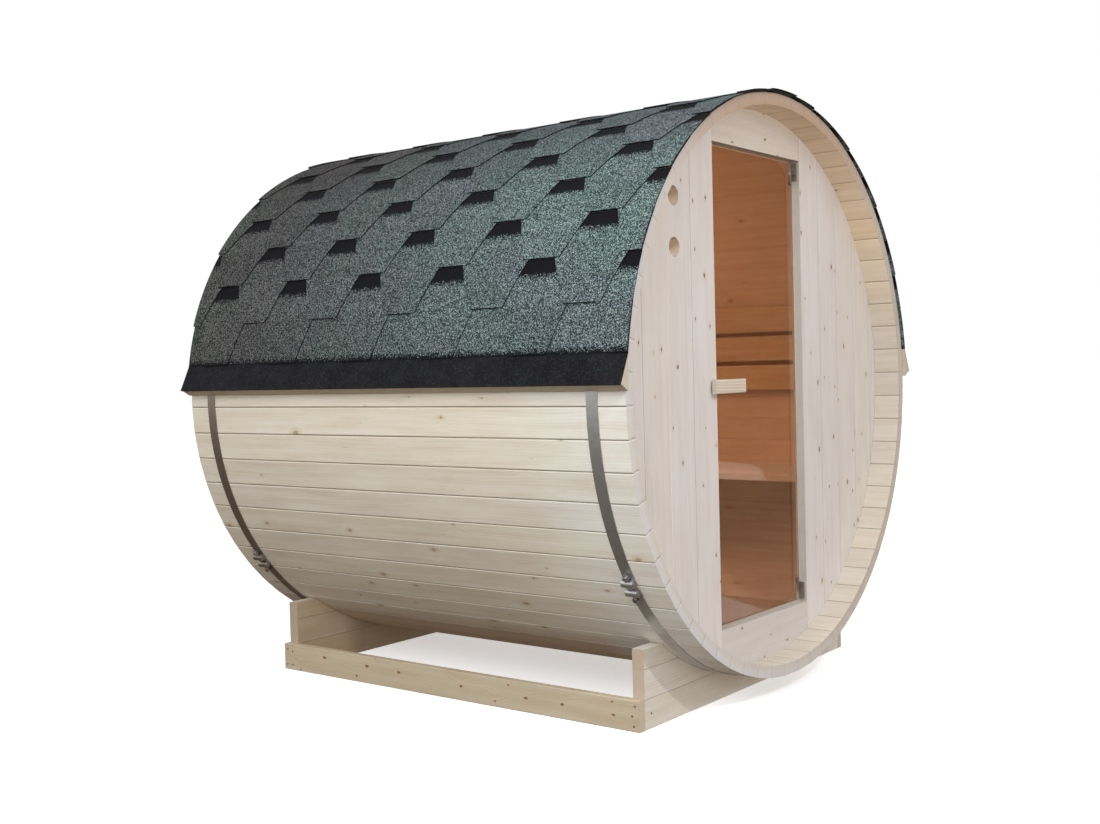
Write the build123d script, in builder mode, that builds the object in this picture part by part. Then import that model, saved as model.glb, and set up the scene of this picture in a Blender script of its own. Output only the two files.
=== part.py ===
from build123d import *
from math import atan2, cos, degrees, hypot, radians, sin, sqrt, tan
import os

# Barrel sauna. X is to the right seen from the door, Y runs from the door to the back, Z is up.
# The origin is on the ground, under the middle of the barrel. Lengths in mm, angles in degrees.

# Barrel of flat staves
barrel_radius = 950.0
barrel_length = 1890.0
ground_clearance = 61.0
stave_count = 64
stave_thickness = 38.0
stave_seam_angle = 1.8
stave_gap = 0.3
stave_chamfer = 2.5
bead_width = 16.0
bead_height = 5.0
bead_clearance = 0.6
croze_depth = 9.0
croze_clearance = 0.5
stave_groups = [
    "right", "upper_right", "top", "upper_left", "left", "lower_left", "bottom", "lower_right",
]

# End walls of upright boards, set into the croze of the staves
wall_recess = 97.0
wall_thickness = 42.0
wall_board_width = 140.0
wall_chamfer = 1.5
wall_edge_gap = 1.0
header_height = 133.0
sill_height = 144.0
vent_radius = 30.0
vent_offset = 24.0
vent_below_rim = 162.0
vent_pitch = 154.0

# Glass door on corner hinges
door_width = 594.0
door_gap = 7.0
glass_thickness = 8.0
glass_setback = 26.0
hinge_from_jamb = 15.0
notch_width = 20.0
notch_height = 62.0
hinge_margin = 2.0
hinge_height = 58.0
hinge_block_height = 29.0
hinge_block_thickness = 5.7
hinge_knuckle_radius = 6.0
hinge_pin_radius = 3.0
hinge_pin_length = 14.0
hinge_pin_clearance = 0.3
hinge_arm_height = 8.0
hinge_arm_gap = 0.6
leaf_thickness = 2.7
leaf_depth = 20.0
leaf_setback = 9.0
clamp_plate_thickness = 2.7
clamp_grip = 12.0
clamp_width = 10.0
clamp_offset = 2.0
handle_length = 190.0
handle_height = 45.0
handle_thickness = 14.0
handle_overlap = 39.0
handle_above_axis = 7.0
handle_wall_gap = 6.0
handle_fillet = 4.0
spacer_radius = 8.0
spacer_from_jamb = 35.0
spacer_pitch = 80.0
inner_handle_length = 120.0
inner_spacer_length = 20.0

# Floor, bench and backrest inside
floor_drop = 28.0
floor_board_thickness = 22.0
floor_board_count = 7
floor_board_gap = 10.0
bearer_width = 45.0
bearer_spacing = 600.0
bearer_end_trim = 20.0
inner_end_gap = 4.0
side_clearance = 5.0
bench_height = 464.0
bench_board_width = 95.0
bench_board_count = 4
bench_board_gap = 12.0
bench_board_thickness = 28.0
bench_wall_gap = 10.0
cleat_height = 60.0
cleat_thickness = 40.0
backrest_board_width = 100.0
backrest_board_thickness = 20.0
backrest_board_count = 3
backrest_first_angle = 1.15
backrest_pitch_angle = 7.8
batten_depth = 25.0
batten_width = 45.0
batten_overrun_angle = 5.0
board_chamfer = 2.0

# Steel bands with a bolted tensioner each
band_from_end = 113.0
band_width = 40.0
band_thickness = 1.5
front_tensioner_angle = 215.6
rear_tensioner_angle = 218.8
eye_radius = 12.0
eye_spacing = 36.0
trunnion_end = 3.0
trunnion_clearance = 0.3
bolt_radius = 5.0
bolt_clearance = 0.4
bolt_length = 108.0
bolt_head_width = 17.0
bolt_head_height = 8.0

# Shingle roof with eave wedges
roof_overhang = 10.0
eave_flare = 38.0
eave_edge_height = 33.0
eave_underside_angle = 0.8
eave_top_angle = 7.0
wedge_tip_thickness = 1.5
strip_thickness = 3.0
strip_drip = 4.0
course_count = 9
course_angle = 8.8
course_gap_angle = 0.03
shingle_butt = 9.0
shingle_tail = 4.5
ridge_half_angle = 5.0
ridge_thickness = 4.5

# Timber cradles and stringers
cradle_face_from_end = 155.0
cradle_thickness = 42.0
cradle_half_width = 660.0
cradle_board_height = 92.0
cradle_top_height = 60.0
stringer_thickness = 29.0
stringer_height = 95.0

# One gap for every pair of pieces that seat on each other, and one overrun for every cut
seat_gap = 0.3
overrun = 20.0

# Places that follow from the sizes above
axis_height = ground_clearance + barrel_radius
half_stave_angle = radians(180 / stave_count)
stave_outer_flat = barrel_radius * cos(half_stave_angle)
stave_inner_flat = stave_outer_flat - stave_thickness
inner_radius = barrel_radius - stave_thickness
front_face_y = -barrel_length / 2 + wall_recess
wall_mid_y = front_face_y + wall_thickness / 2
inner_face_y = front_face_y + wall_thickness
wall_radius = stave_inner_flat + croze_depth - wall_edge_gap
door_top = axis_height + inner_radius - header_height
door_bottom = axis_height - inner_radius + sill_height
jamb_x = door_width / 2
inner_length = -2 * (inner_face_y + inner_end_gap)
os.makedirs("parts", exist_ok=True)


def half_chord(height, radius=stave_inner_flat):
    """Half the width of a circle about the barrel's axis, at a height above ground."""
    return sqrt(radius**2 - (axis_height - height) ** 2)


def polar(radius, angle):
    """Point on the end view at a radius and angle about the barrel's axis; 0 is right, 90 is up."""
    return (radius * cos(radians(angle)), axis_height + radius * sin(radians(angle)))


def save(piece, name):
    """Name a finished piece and write it out."""
    piece.label = name
    export_step(piece, f"parts/{name}.step")


# Staves: one plank with a bead on one edge and a cove on the other, crozed for both end walls
def side(height, inset=0.0):
    """Distance from a stave's centre line to its edge, at a height above the barrel's axis."""
    return height * tan(half_stave_angle) - stave_gap / 2 - inset


stave_mid = stave_outer_flat - stave_thickness / 2
bead_top = stave_mid + bead_width / 2
bead_bottom = stave_mid - bead_width / 2
cove_top = bead_top + bead_clearance
cove_bottom = bead_bottom - bead_clearance
chamfer_foot = stave_outer_flat - stave_chamfer
cove_depth = bead_height + bead_clearance

with BuildPart() as stave:
    with BuildSketch(Plane.XZ):
        with BuildLine():
            Polyline(
                (-side(cove_top), cove_top),
                (-side(chamfer_foot), chamfer_foot),
                (-side(stave_outer_flat, stave_chamfer), stave_outer_flat),
                (side(stave_outer_flat, stave_chamfer), stave_outer_flat),
                (side(chamfer_foot), chamfer_foot),
                (side(bead_top), bead_top),
            )
            ThreePointArc(
                (side(bead_top), bead_top),
                (side(stave_mid) + bead_height, stave_mid),
                (side(bead_bottom), bead_bottom),
            )
            Polyline(
                (side(bead_bottom), bead_bottom),
                (side(stave_inner_flat), stave_inner_flat),
                (-side(stave_inner_flat), stave_inner_flat),
                (-side(cove_bottom), cove_bottom),
            )
            ThreePointArc(
                (-side(cove_bottom), cove_bottom),
                (-side(stave_mid) + cove_depth, stave_mid),
                (-side(cove_top), cove_top),
            )
        make_face()
    extrude(amount=barrel_length / 2, both=True)
    croze_height = croze_depth + overrun
    croze_mid = stave_inner_flat + croze_depth - croze_height / 2
    with Locations((0, wall_mid_y, croze_mid), (0, -wall_mid_y, croze_mid)):
        Box(
            2 * side(barrel_radius) + overrun,
            wall_thickness + 2 * croze_clearance,
            croze_height,
            mode=Mode.SUBTRACT,
        )

stave_pitch = 360 / stave_count
staves_per_group = stave_count // len(stave_groups)
first_stave_angle = stave_seam_angle + (1 - staves_per_group) / 2 * stave_pitch
for group_index, group_name in enumerate(stave_groups):
    with BuildPart() as staves:
        for stave_index in range(staves_per_group):
            step = group_index * staves_per_group + stave_index
            turn = 90 - (first_stave_angle + step * stave_pitch)
            with Locations(Location((0, 0, axis_height), (0, turn, 0))):
                add(stave.part)
    save(staves.part, f"{group_name}_staves")


# End walls: upright boards cut to the round of the barrel
def wall_boards(edges, low, high, mid_y, outside):
    """Upright boards between neighbouring X edges, from low to high, as one node's solids."""
    with BuildPart() as boards:
        for left, right in zip(edges[:-1], edges[1:]):
            with Locations(((left + right) / 2, mid_y, (low + high) / 2)):
                Box(right - left - seat_gap, wall_thickness, high - low)
        upright = boards.edges().filter_by(Axis.Z)
        chamfer(upright.group_by(Axis.Y)[outside], length=wall_chamfer)
        with Locations((0, mid_y, axis_height)):
            Cylinder(wall_radius, wall_thickness + overrun, rotation=(90, 0, 0), mode=Mode.INTERSECT)
    return boards


def board_edges(start, stop, width):
    """X edges of boards laid from start towards stop, the last one cut to width."""
    edges = [start]
    while edges[-1] + width < stop:
        edges.append(edges[-1] + width)
    return edges + [stop]


wall_top = axis_height + wall_radius
wall_bottom = axis_height - wall_radius
side_edges = board_edges(jamb_x + seat_gap / 2, wall_radius, wall_board_width)
left_edges = [-edge for edge in reversed(side_edges)]
header_edges = [-jamb_x + seat_gap / 2, jamb_x - seat_gap / 2]

front_wall_right = wall_boards(side_edges, wall_bottom, wall_top, wall_mid_y, 0)
save(front_wall_right.part, "front_wall_right")

# The second board left of the door carries the two round vents
with BuildPart() as front_wall_left:
    add(wall_boards(left_edges[:-2], wall_bottom, wall_top, wall_mid_y, 0).part)
    add(wall_boards(left_edges[-2:], wall_bottom, wall_top, wall_mid_y, 0).part)
save(front_wall_left.part, "front_wall_left")

vent_x = (left_edges[-3] + left_edges[-2]) / 2 - vent_offset
upper_vent_z = axis_height + sqrt(wall_radius**2 - vent_x**2) - vent_below_rim
with BuildPart() as front_vent_board:
    add(wall_boards(left_edges[-3:-1], wall_bottom, wall_top, wall_mid_y, 0).part)
    with Locations((vent_x, wall_mid_y, upper_vent_z), (vent_x, wall_mid_y, upper_vent_z - vent_pitch)):
        Cylinder(vent_radius, wall_thickness + overrun, rotation=(90, 0, 0), mode=Mode.SUBTRACT)
save(front_vent_board.part, "front_vent_board")

front_wall_header = wall_boards(header_edges, door_top, wall_top, wall_mid_y, 0)
save(front_wall_header.part, "front_wall_header")
front_wall_sill = wall_boards(header_edges, wall_bottom, door_bottom, wall_mid_y, 0)
save(front_wall_sill.part, "front_wall_sill")

rear_edges = board_edges(-wall_radius, wall_radius, wall_board_width)
rear_wall = wall_boards(rear_edges, wall_bottom, wall_top, -wall_mid_y, -1)
save(rear_wall.part, "rear_wall")

# Door: glass with notched corners, swinging out about an upright axis beside the right jamb
hinge_x = jamb_x - hinge_from_jamb
glass_mid_y = front_face_y + glass_setback + glass_thickness / 2
glass_front_y = glass_mid_y - glass_thickness / 2
glass_back_y = glass_mid_y + glass_thickness / 2
glass_low = door_bottom + door_gap
glass_high = door_top - door_gap
glass_right = jamb_x - door_gap

with BuildPart() as door_glass:
    with Locations((0, glass_mid_y, (glass_low + glass_high) / 2)):
        Box(2 * glass_right, glass_thickness, glass_high - glass_low)
    with Locations((glass_right, glass_mid_y, glass_low), (glass_right, glass_mid_y, glass_high)):
        Box(2 * notch_width, glass_thickness + overrun, 2 * notch_height, mode=Mode.SUBTRACT)
save(door_glass.part, "door_glass")

# Each hinge is stacked inwards from its corner: a block on the jamb, an arm with the pin, the clamp
corners = [(glass_low, 1), (glass_high, -1)]
arm_start = hinge_margin + hinge_block_height
arm_end = arm_start + hinge_arm_height
clamp_start = arm_end + hinge_arm_gap
clamp_end = notch_height + clamp_grip
slot_start = notch_height - seat_gap
slot_height = clamp_grip + overrun
clamp_half_depth = glass_thickness / 2 + seat_gap + clamp_plate_thickness
jamb_face_x = jamb_x - seat_gap
leaf_front_y = front_face_y + leaf_setback
leaf_mid_y = leaf_front_y + leaf_depth / 2
arm_back_y = glass_mid_y + hinge_knuckle_radius
block_x = jamb_face_x - hinge_block_thickness


def inward(corner, start, end):
    """Height of the middle of a piece that lies from start to end, measured inwards from a corner."""
    return corner[0] + corner[1] * (start + end) / 2


with BuildPart() as door_hinge_clamps:
    for corner in corners:
        with Locations((hinge_x - clamp_offset, glass_mid_y, inward(corner, clamp_start, clamp_end))):
            Box(clamp_width, 2 * clamp_half_depth, clamp_end - clamp_start)
        with Locations((hinge_x, glass_mid_y, inward(corner, slot_start, slot_start + slot_height))):
            Box(clamp_width + overrun, glass_thickness + 2 * seat_gap, slot_height, mode=Mode.SUBTRACT)
        with Locations((hinge_x, glass_mid_y, inward(corner, arm_end, notch_height))):
            Cylinder(hinge_pin_radius + hinge_pin_clearance, notch_height - arm_end, mode=Mode.SUBTRACT)
save(door_hinge_clamps.part, "door_hinge_clamps")

with BuildPart() as jamb_hinge_leaves:
    for corner in corners:
        leaf_z = inward(corner, hinge_margin, hinge_margin + hinge_height)
        with Locations((jamb_face_x - leaf_thickness / 2, leaf_mid_y, leaf_z)):
            Box(leaf_thickness, leaf_depth, hinge_height)
        block_mid_x = block_x + hinge_block_thickness / 2
        with Locations((block_mid_x, leaf_mid_y, inward(corner, hinge_margin, arm_start))):
            Box(hinge_block_thickness, leaf_depth, hinge_block_height)
        arm_z = inward(corner, arm_start, arm_end)
        with Locations((block_mid_x, (leaf_front_y + arm_back_y) / 2, arm_z)):
            Box(hinge_block_thickness, arm_back_y - leaf_front_y, hinge_arm_height)
        with Locations(((hinge_x + block_x) / 2, glass_mid_y, arm_z)):
            Box(block_x - hinge_x, 2 * hinge_knuckle_radius, hinge_arm_height)
        with Locations((hinge_x, glass_mid_y, arm_z)):
            Cylinder(hinge_knuckle_radius, hinge_arm_height)
        with Locations((hinge_x, glass_mid_y, inward(corner, arm_start, arm_end + hinge_pin_length))):
            Cylinder(hinge_pin_radius, hinge_arm_height + hinge_pin_length)
save(jamb_hinge_leaves.part, "jamb_hinge_leaves")

handle_z = axis_height + handle_above_axis
handle_x = handle_length / 2 - jamb_x - handle_overlap
handle_back_y = front_face_y - handle_wall_gap
spacer_places = [spacer_from_jamb - jamb_x, spacer_from_jamb - jamb_x + spacer_pitch]
outer_spacer_length = glass_front_y - seat_gap - handle_back_y
inner_bar_y = glass_back_y + seat_gap + inner_spacer_length + handle_thickness / 2
inner_handle_x = sum(spacer_places) / 2

with BuildPart() as door_handle:
    with Locations((handle_x, handle_back_y - handle_thickness / 2, handle_z)):
        Box(handle_length, handle_thickness, handle_height)
    with Locations((inner_handle_x, inner_bar_y, handle_z)):
        Box(inner_handle_length, handle_thickness, handle_height)
    fillet(door_handle.edges().filter_by(Axis.X), radius=handle_fillet)
    for spacer_x in spacer_places:
        with Locations((spacer_x, handle_back_y + outer_spacer_length / 2, handle_z)):
            Cylinder(spacer_radius, outer_spacer_length, rotation=(90, 0, 0))
        with Locations((spacer_x, glass_back_y + seat_gap + inner_spacer_length / 2, handle_z)):
            Cylinder(spacer_radius, inner_spacer_length, rotation=(90, 0, 0))
save(door_handle.part, "door_handle")

# Floor: boards lengthwise on bearers that follow the round of the staves
floor_top = door_bottom - floor_drop
bearer_top = floor_top - floor_board_thickness - seat_gap
floor_half_width = half_chord(floor_top - floor_board_thickness) - side_clearance
floor_gaps = (floor_board_count - 1) * floor_board_gap
floor_board_width = (2 * floor_half_width - floor_gaps) / floor_board_count

with BuildPart() as floor_boards:
    with Locations((0, 0, floor_top - floor_board_thickness / 2)):
        with GridLocations(floor_board_width + floor_board_gap, 0, floor_board_count, 1):
            Box(floor_board_width, inner_length, floor_board_thickness)
    floor_tops = floor_boards.faces().sort_by(Axis.Z)[-floor_board_count:]
    chamfer(floor_tops.edges().filter_by(Axis.Y), length=board_chamfer)
save(floor_boards.part, "floor_boards")

bearer_half_length = floor_half_width - bearer_end_trim
bearer_drop = bearer_top - axis_height + barrel_radius
bearer_places = [-bearer_spacing, 0, bearer_spacing]
with BuildPart() as floor_bearers:
    for place in bearer_places:
        with BuildSketch(Plane.XZ.offset(-place - bearer_width / 2)):
            with Locations((0, axis_height)):
                Circle(stave_inner_flat - seat_gap)
            with Locations((0, bearer_top - bearer_drop / 2)):
                Rectangle(2 * bearer_half_length, bearer_drop, mode=Mode.INTERSECT)
        extrude(amount=bearer_width)
save(floor_bearers.part, "floor_bearers")

# Bench along the right side, its boards carried by a cleat on each end wall
bench_top = floor_top + bench_height
bench_underside = bench_top - bench_board_thickness
bench_back_x = half_chord(bench_underside) - bench_wall_gap
bench_depth = bench_board_count * (bench_board_width + bench_board_gap) - bench_board_gap
bench_mid_x = bench_back_x - bench_depth / 2

with BuildPart() as bench_boards:
    with Locations((bench_mid_x, 0, bench_top - bench_board_thickness / 2)):
        with GridLocations(bench_board_width + bench_board_gap, 0, bench_board_count, 1):
            Box(bench_board_width, inner_length, bench_board_thickness)
    chamfer(bench_boards.edges().filter_by(Axis.Y), length=board_chamfer)
save(bench_boards.part, "bench_boards")

cleat_top = bench_underside - seat_gap
cleat_right = half_chord(cleat_top - cleat_height) - bench_wall_gap
cleat_left = bench_back_x - bench_depth + bench_board_gap
cleat_y = inner_face_y + seat_gap + cleat_thickness / 2
with BuildPart() as bench_cleats:
    cleat_mid = ((cleat_left + cleat_right) / 2, cleat_y, cleat_top - cleat_height / 2)
    with Locations(cleat_mid, (cleat_mid[0], -cleat_y, cleat_mid[2])):
        Box(cleat_right - cleat_left, cleat_thickness, cleat_height)
save(bench_cleats.part, "bench_cleats")

backrest_back = stave_inner_flat - batten_depth
backrest_angles = [
    backrest_first_angle + board * backrest_pitch_angle for board in range(backrest_board_count)
]
with BuildPart() as backrest_boards:
    for angle in backrest_angles:
        with Locations(Location((0, 0, axis_height), (0, -angle, 0))):
            with Locations((backrest_back - backrest_board_thickness / 2, 0, 0)):
                Box(backrest_board_thickness, inner_length, backrest_board_width)
    chamfer(backrest_boards.edges().filter_by(Axis.Y), length=board_chamfer)
save(backrest_boards.part, "backrest_boards")

batten_inner = hypot(backrest_back, backrest_board_width / 2) + seat_gap
batten_outer = stave_inner_flat - seat_gap
batten_low = backrest_angles[0] - batten_overrun_angle
batten_high = backrest_angles[-1] + batten_overrun_angle


def ring_sector(inner, outer, low, high):
    """Sketch of a piece of ring about the barrel's axis, between two angles."""
    middle = (low + high) / 2
    with BuildSketch() as sector:
        with BuildLine():
            Line(polar(inner, low), polar(outer, low))
            ThreePointArc(polar(outer, low), polar(outer, middle), polar(outer, high))
            Line(polar(outer, high), polar(inner, high))
            ThreePointArc(polar(inner, high), polar(inner, middle), polar(inner, low))
        make_face()
    return sector.sketch


with BuildPart() as backrest_battens:
    for place in bearer_places:
        with BuildSketch(Plane.XZ.offset(-place - batten_width / 2)):
            add(ring_sector(batten_inner, batten_outer, batten_low, batten_high))
        extrude(amount=batten_width)
save(backrest_battens.part, "backrest_battens")

# Bands: a steel strap round the staves over each end wall, its ends rolled into eyes
band_inner = barrel_radius + seat_gap
band_outer = band_inner + band_thickness
eye_centre_radius = band_outer - band_thickness + eye_radius
eye_half_angle = degrees(eye_spacing / 2 / eye_centre_radius)
eye_bore = eye_radius - band_thickness
band_y = barrel_length / 2 - band_from_end
eye_places = [(-eye_spacing / 2, 0, eye_centre_radius), (eye_spacing / 2, 0, eye_centre_radius)]
band_ends = [("front", -band_y, front_tensioner_angle), ("rear", band_y, rear_tensioner_angle)]

for end_name, place, tensioner_angle in band_ends:
    here = Location((0, place, axis_height), (0, 90 - tensioner_angle, 0))
    with BuildPart() as band:
        with BuildSketch(Plane.XZ.offset(-place - band_width / 2)):
            low = tensioner_angle + eye_half_angle
            high = tensioner_angle - eye_half_angle + 360
            add(ring_sector(band_inner, band_outer, low, high))
        extrude(amount=band_width)
        with Locations(here):
            with Locations(*eye_places):
                Cylinder(eye_radius, band_width, rotation=(90, 0, 0))
                Cylinder(eye_bore, band_width + overrun, rotation=(90, 0, 0), mode=Mode.SUBTRACT)
            with Locations((0, 0, eye_centre_radius)):
                Box(
                    eye_spacing + 2 * eye_radius + overrun,
                    2 * (bolt_radius + bolt_clearance),
                    2 * (bolt_radius + bolt_clearance),
                    mode=Mode.SUBTRACT,
                )
    save(band.part, f"{end_name}_band")

    with BuildPart() as tensioner:
        with Locations(here):
            with Locations(*eye_places):
                Cylinder(
                    eye_bore - trunnion_clearance, band_width + 2 * trunnion_end, rotation=(90, 0, 0)
                )
            with Locations((0, 0, eye_centre_radius)):
                Cylinder(
                    bolt_radius + bolt_clearance, bolt_length, rotation=(0, 90, 0), mode=Mode.SUBTRACT
                )
                Cylinder(bolt_radius, bolt_length, rotation=(0, 90, 0))
            bolt_end = (bolt_length - bolt_head_height) / 2
            with Locations((-bolt_end, 0, eye_centre_radius), (bolt_end, 0, eye_centre_radius)):
                Box(bolt_head_height, bolt_head_width, bolt_head_width)
    save(tensioner.part, f"{end_name}_tensioner")

# Roof: eave wedges, black eave strips and stepped shingle courses up to a ridge course
roof_inner = band_outer + seat_gap
roof_length = barrel_length + 2 * roof_overhang
eave_z = axis_height + eave_edge_height
wedge_tip = polar(roof_inner + wedge_tip_thickness, eave_top_angle)
wedge_corner = (barrel_radius + eave_flare - strip_thickness - seat_gap, eave_z)
face_length = hypot(wedge_tip[0] - wedge_corner[0], wedge_tip[1] - wedge_corner[1])
face_up = ((wedge_tip[0] - wedge_corner[0]) / face_length, (wedge_tip[1] - wedge_corner[1]) / face_length)
face_out = (face_up[1], -face_up[0])


def on_face(along, out):
    """Point of the end view measured from the wedge's corner, along its outer face and out from it."""
    return (
        wedge_corner[0] + along * face_up[0] + out * face_out[0],
        wedge_corner[1] + along * face_up[1] + out * face_out[1],
    )


roof_plane = Plane.XZ.offset(-roof_length / 2)
with BuildPart() as right_eave_wedge:
    with BuildSketch(roof_plane):
        with BuildLine():
            low = polar(roof_inner, eave_underside_angle)
            high = polar(roof_inner, eave_top_angle)
            middle = polar(roof_inner, (eave_underside_angle + eave_top_angle) / 2)
            Polyline(low, wedge_corner, wedge_tip, high)
            ThreePointArc(high, middle, low)
        make_face()
    extrude(amount=roof_length)

with BuildPart() as right_eave_strip:
    with BuildSketch(roof_plane):
        with BuildLine():
            Polyline(
                on_face(-strip_drip, seat_gap),
                on_face(-strip_drip, seat_gap + strip_thickness),
                on_face(face_length, seat_gap + strip_thickness),
                on_face(face_length, seat_gap),
                close=True,
            )
        make_face()
    extrude(amount=roof_length)

strip_top = on_face(face_length, seat_gap + strip_thickness)
strip_top_angle = degrees(atan2(strip_top[1] - axis_height, strip_top[0]))
first_course_angle = max(strip_top_angle, eave_top_angle) + course_gap_angle
course_lows = [first_course_angle + course * course_angle for course in range(course_count)]
course_highs = course_lows[1:] + [90]
with BuildPart() as right_shingles:
    for low, high in zip(course_lows, course_highs):
        top = high - course_gap_angle
        middle = (low + top) / 2
        with BuildSketch(roof_plane):
            with BuildLine():
                Line(polar(roof_inner, low), polar(roof_inner + shingle_butt, low))
                ThreePointArc(
                    polar(roof_inner + shingle_butt, low),
                    polar(roof_inner + (shingle_butt + shingle_tail) / 2, middle),
                    polar(roof_inner + shingle_tail, top),
                )
                Line(polar(roof_inner + shingle_tail, top), polar(roof_inner, top))
                ThreePointArc(polar(roof_inner, top), polar(roof_inner, middle), polar(roof_inner, low))
            make_face()
        extrude(amount=roof_length)

right_roof = {
    "eave_wedge": right_eave_wedge, "eave_strip": right_eave_strip, "shingles": right_shingles,
}
for name, right in right_roof.items():
    with BuildPart() as left:
        mirror(right.part, about=Plane.YZ)
    save(right.part, f"right_{name}")
    save(left.part, f"left_{name}")

ridge_share = ridge_half_angle / (90 - course_lows[-1])
ridge_inner = roof_inner + shingle_tail + (shingle_butt - shingle_tail) * ridge_share + seat_gap
with BuildPart() as ridge_course:
    with BuildSketch(roof_plane):
        ridge_outer = ridge_inner + ridge_thickness
        add(ring_sector(ridge_inner, ridge_outer, 90 - ridge_half_angle, 90 + ridge_half_angle))
    extrude(amount=roof_length)
save(ridge_course.part, "ridge_course")

# Base: two cradles of stacked boards cut to the round of the barrel, joined by two stringers
cradle_face_y = barrel_length / 2 - cradle_face_from_end
cradle_levels = [
    (0, cradle_board_height),
    (cradle_board_height, 2 * cradle_board_height),
    (2 * cradle_board_height, 2 * cradle_board_height + cradle_top_height),
]
for end_name, start_y in (("front", -cradle_face_y), ("rear", cradle_face_y - cradle_thickness)):
    with BuildPart() as cradle:
        for low, high in cradle_levels:
            with BuildSketch(Plane.XZ.offset(-start_y - cradle_thickness)):
                with Locations((0, (low + high - seat_gap) / 2)):
                    Rectangle(2 * cradle_half_width, high - low - seat_gap)
                with Locations((0, axis_height)):
                    Circle(barrel_radius + seat_gap, mode=Mode.SUBTRACT)
            extrude(amount=cradle_thickness)
    save(cradle.part, f"{end_name}_cradle")

stringer_x = cradle_half_width + seat_gap + stringer_thickness / 2
for side_name, place in (("left", -stringer_x), ("right", stringer_x)):
    with BuildPart() as stringer:
        with Locations((place, 0, stringer_height / 2)):
            Box(stringer_thickness, 2 * cradle_face_y, stringer_height)
        chamfer(stringer.edges().filter_by(Axis.Y), length=board_chamfer)
    save(stringer.part, f"{side_name}_stringer")
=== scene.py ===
import math
import random

import bpy
from mathutils import Matrix, Vector


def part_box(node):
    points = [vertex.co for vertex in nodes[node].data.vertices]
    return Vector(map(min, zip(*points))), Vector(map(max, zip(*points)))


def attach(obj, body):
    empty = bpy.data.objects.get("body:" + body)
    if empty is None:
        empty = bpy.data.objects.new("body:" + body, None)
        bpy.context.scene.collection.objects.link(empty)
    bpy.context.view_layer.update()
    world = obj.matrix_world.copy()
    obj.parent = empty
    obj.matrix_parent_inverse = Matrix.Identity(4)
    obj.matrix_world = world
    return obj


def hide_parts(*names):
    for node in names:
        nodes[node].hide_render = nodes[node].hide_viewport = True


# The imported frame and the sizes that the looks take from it, in metres
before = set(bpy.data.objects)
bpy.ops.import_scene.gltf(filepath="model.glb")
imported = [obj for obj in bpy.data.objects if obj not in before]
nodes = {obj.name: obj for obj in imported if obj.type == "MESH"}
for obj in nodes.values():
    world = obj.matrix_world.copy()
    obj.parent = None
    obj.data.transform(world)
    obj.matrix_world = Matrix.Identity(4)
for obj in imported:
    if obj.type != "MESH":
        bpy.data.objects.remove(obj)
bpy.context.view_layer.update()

WALL_MARGIN = 0.01
AXIS_Z = sum(corner.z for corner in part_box("rear_wall")) / 2
HALF_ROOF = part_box("left_shingles")[1].y
RIDGE_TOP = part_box("ridge_course")[1].z - AXIS_Z
JAMB_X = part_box("front_wall_right")[0].x
WALL_EDGE_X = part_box("rear_wall")[0].x
WALL_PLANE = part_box("rear_wall")[1].y - WALL_MARGIN
BARREL_RADIUS = 0.950
STAVE_COUNT = 64
STAVE_PITCH = 2 * math.pi / STAVE_COUNT
STAVE_SEAM = math.radians(1.8)
WALL_BOARD = 0.140
CRADLE_BOARD = 0.092
FLOOR_BOARD_COUNT = 7
BENCH_BOARD_COUNT = 4
BACKREST_FIRST_DEGREES = 1.15
BACKREST_PITCH_DEGREES = 7.8
BACKREST_START = math.radians(BACKREST_FIRST_DEGREES - BACKREST_PITCH_DEGREES / 2)
BACKREST_PITCH = math.radians(BACKREST_PITCH_DEGREES)
ROOF_INNER = 0.9521
COURSE_COUNT = 9
COURSE_START = math.radians(7.03)
COURSE_PITCH = math.radians(8.8)

RANDOM_SEED = 7
rng = random.Random(RANDOM_SEED)


def srgb(red, green, blue):
    """Linear colour, with alpha, of an sRGB colour given as 0 to 255."""
    def linear(level):
        share = level / 255
        return share / 12.92 if share <= 0.04045 else ((share + 0.055) / 1.055) ** 2.4
    return (linear(red), linear(green), linear(blue), 1.0)


WHITE = (1.0, 1.0, 1.0, 1.0)
BLACK = (0.0, 0.0, 0.0, 1.0)


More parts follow.
